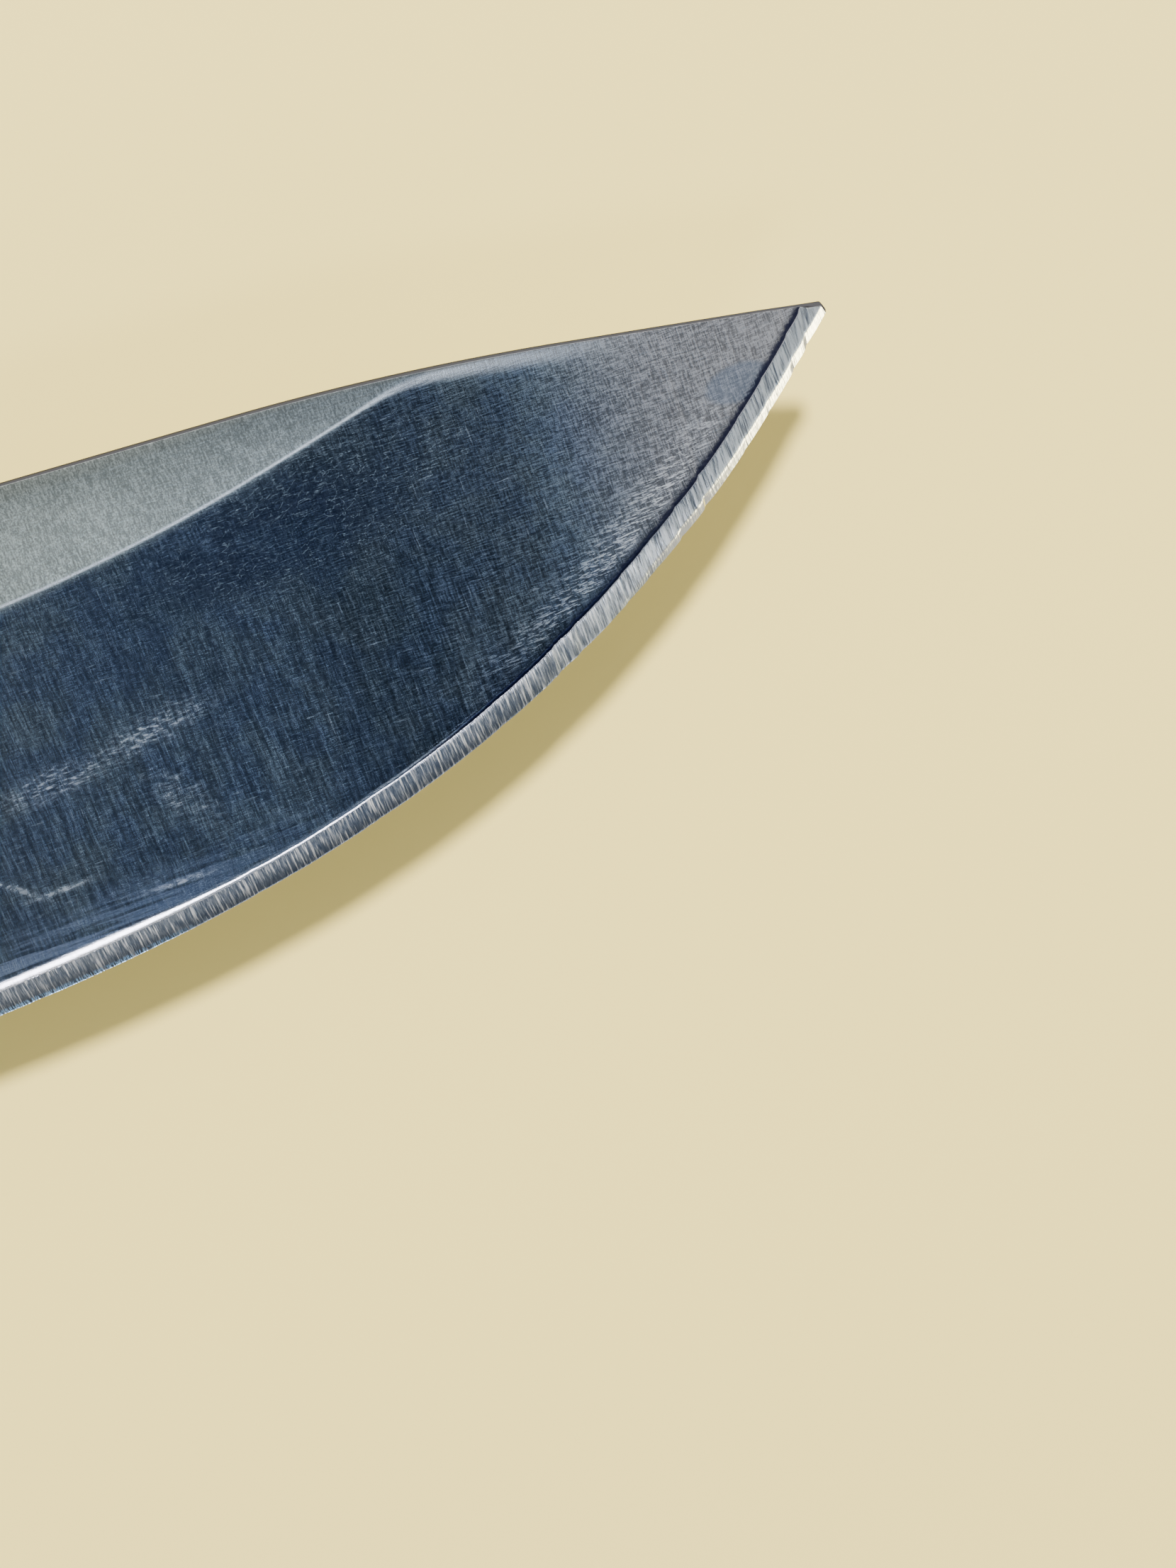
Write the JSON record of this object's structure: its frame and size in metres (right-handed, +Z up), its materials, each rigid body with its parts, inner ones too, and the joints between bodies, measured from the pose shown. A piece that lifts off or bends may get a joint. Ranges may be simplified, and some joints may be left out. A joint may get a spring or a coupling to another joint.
{
  "type": "boning knife",
  "caption": "Fixed-blade boning knife with a full tang, a hollow-ground drop-point blade, brass bolsters, riveted wooden scales over fibre liners and a hang tube in the butt.",
  "frame": {"origin": "under the middle of the whole knife's bounding box, on the surface that the knife lies on", "axes": "+X along the blade to the point, +Y from the edge to the spine, +Z up, out of the knife's right side as it lies on its left side"},
  "size_m": [0.2698, 0.035, 0.02],
  "materials": {
    "blade_steel": "satin ground, with a darker hollow and a coarser bevel at the edge",
    "bolster_brass": "satin polish with handling scratches",
    "pin_brass": "peened and ground flush with the bolsters",
    "liner_fibre": "black vulcanised fibre, sanded edges",
    "scale_rosewood": "oiled rosewood with open pores",
    "rivet_brass": "heads ground flush with the wood",
    "tube_brass": "drawn tube, ends ground flush"
  },
  "bodies": {
    "root": {"blade": "blade_steel", "bolster_left": "bolster_brass", "bolster_right": "bolster_brass", "bolster_pin_upper": "pin_brass", "bolster_pin_lower": "pin_brass", "liner_left": "liner_fibre", "liner_right": "liner_fibre", "scale_left": "scale_rosewood", "scale_right": "scale_rosewood", "rivet_front_male": "rivet_brass", "rivet_front_female": "rivet_brass", "rivet_middle_male": "rivet_brass", "rivet_middle_female": "rivet_brass", "rivet_rear_male": "rivet_brass", "rivet_rear_female": "rivet_brass", "hang_tube": "tube_brass"}
  },
  "joints": []
}
